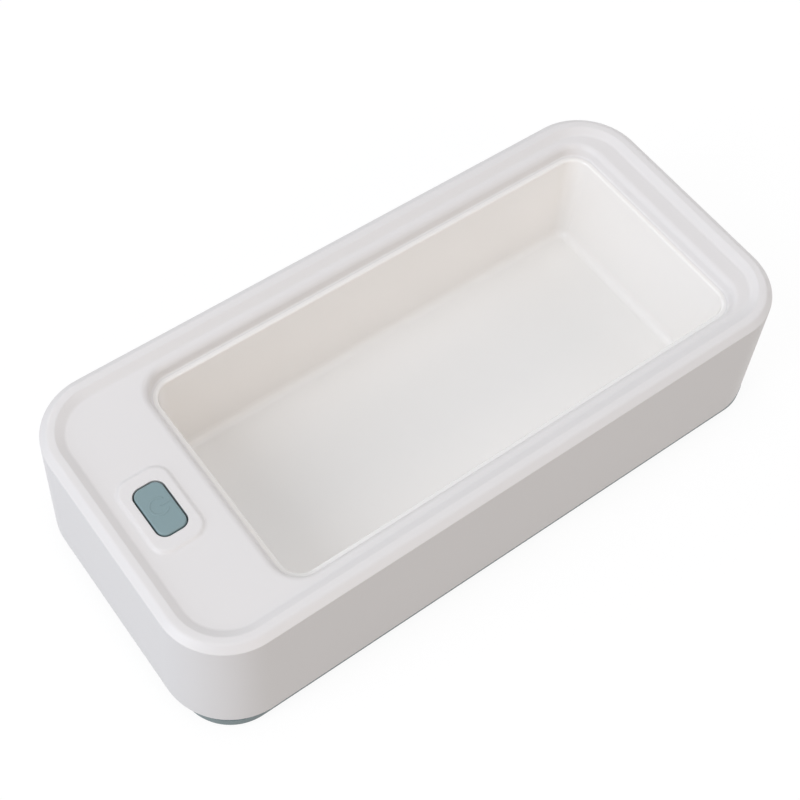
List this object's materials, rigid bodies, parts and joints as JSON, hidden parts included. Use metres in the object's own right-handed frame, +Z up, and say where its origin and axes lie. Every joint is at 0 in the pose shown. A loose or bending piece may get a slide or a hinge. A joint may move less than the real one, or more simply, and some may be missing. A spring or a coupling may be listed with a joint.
{
  "type": "ultrasonic jewelry cleaner",
  "caption": "Tabletop cleaner with a deep rectangular tank in a rounded housing, a sprung push button on the deck and a low-voltage power inlet in the rear wall.",
  "frame": {"origin": "middle of the footprint on the table, at the bottom of the feet", "axes": "+Z up, +X from the button towards the far end of the tank, -Y the long front side, +Y the rear side with the power inlet"},
  "size_m": [0.2328, 0.1082, 0.0532],
  "materials": {
    "shell_white": "satin moulded ABS",
    "tank_white": "smooth moulded ABS",
    "base_blue_grey": "satin moulded ABS",
    "button_blue_grey": "satin moulded ABS",
    "silicone": "matte",
    "foot_rubber": "matte",
    "steel": "zinc plated",
    "stainless": "rolled",
    "circuit_board": "solder-masked laminate",
    "black_plastic": "moulded",
    "connector_white": "moulded nylon",
    "ferrite": "sintered",
    "copper_wire": "enamelled copper",
    "capacitor_sleeve": "shrink sleeve",
    "film_box": "moulded box",
    "heat_sink_metal": "extruded",
    "contact_metal": "plated",
    "carbon": "carbon loaded",
    "piezo_ceramic": "silvered ceramic",
    "solder": "tin",
    "lead_red": "PVC insulation",
    "lead_black": "PVC insulation",
    "lead_white": "PVC insulation"
  },
  "bodies": {
    "housing": {"upper_housing": "shell_white", "tank": "tank_white", "base_plate": "base_blue_grey", "tank_gasket": "silicone", "tank_screws": "steel", "base_screws": "steel", "rubber_feet": "foot_rubber", "button_dome": "silicone", "contact_pads": "contact_metal", "switch_board": "circuit_board", "switch_board_screws": "steel", "main_board": "circuit_board", "main_board_screws": "steel", "dc_jack_body": "black_plastic", "dc_jack_pin": "contact_metal", "dc_jack_spring": "contact_metal", "transformer_core": "ferrite", "transformer_bobbin": "black_plastic", "transformer_winding": "copper_wire", "inductor_core": "ferrite", "inductor_winding": "copper_wire", "filter_capacitors": "capacitor_sleeve", "film_capacitor": "film_box", "power_transistor": "black_plastic", "heat_sink": "heat_sink_metal", "transistor_screw": "steel", "control_chip": "black_plastic", "lead_connectors": "connector_white", "coupling_plate": "stainless", "transducer_disc": "piezo_ceramic", "solder_joints": "solder", "transducer_lead_live": "lead_red", "transducer_lead_return": "lead_black", "button_leads": "lead_white"},
    "button": {"button_cap": "button_blue_grey", "contact_pill": "carbon"}
  },
  "joints": [
    {"name": "button_press", "type": "slide", "parent": "housing", "child": "button", "axis": [0, 0, -1], "range_m": [0, 0.001], "stiffness_N_per_m": 1500, "springref_m": -0.0005, "deforming": ["button_dome"]}
  ]
}
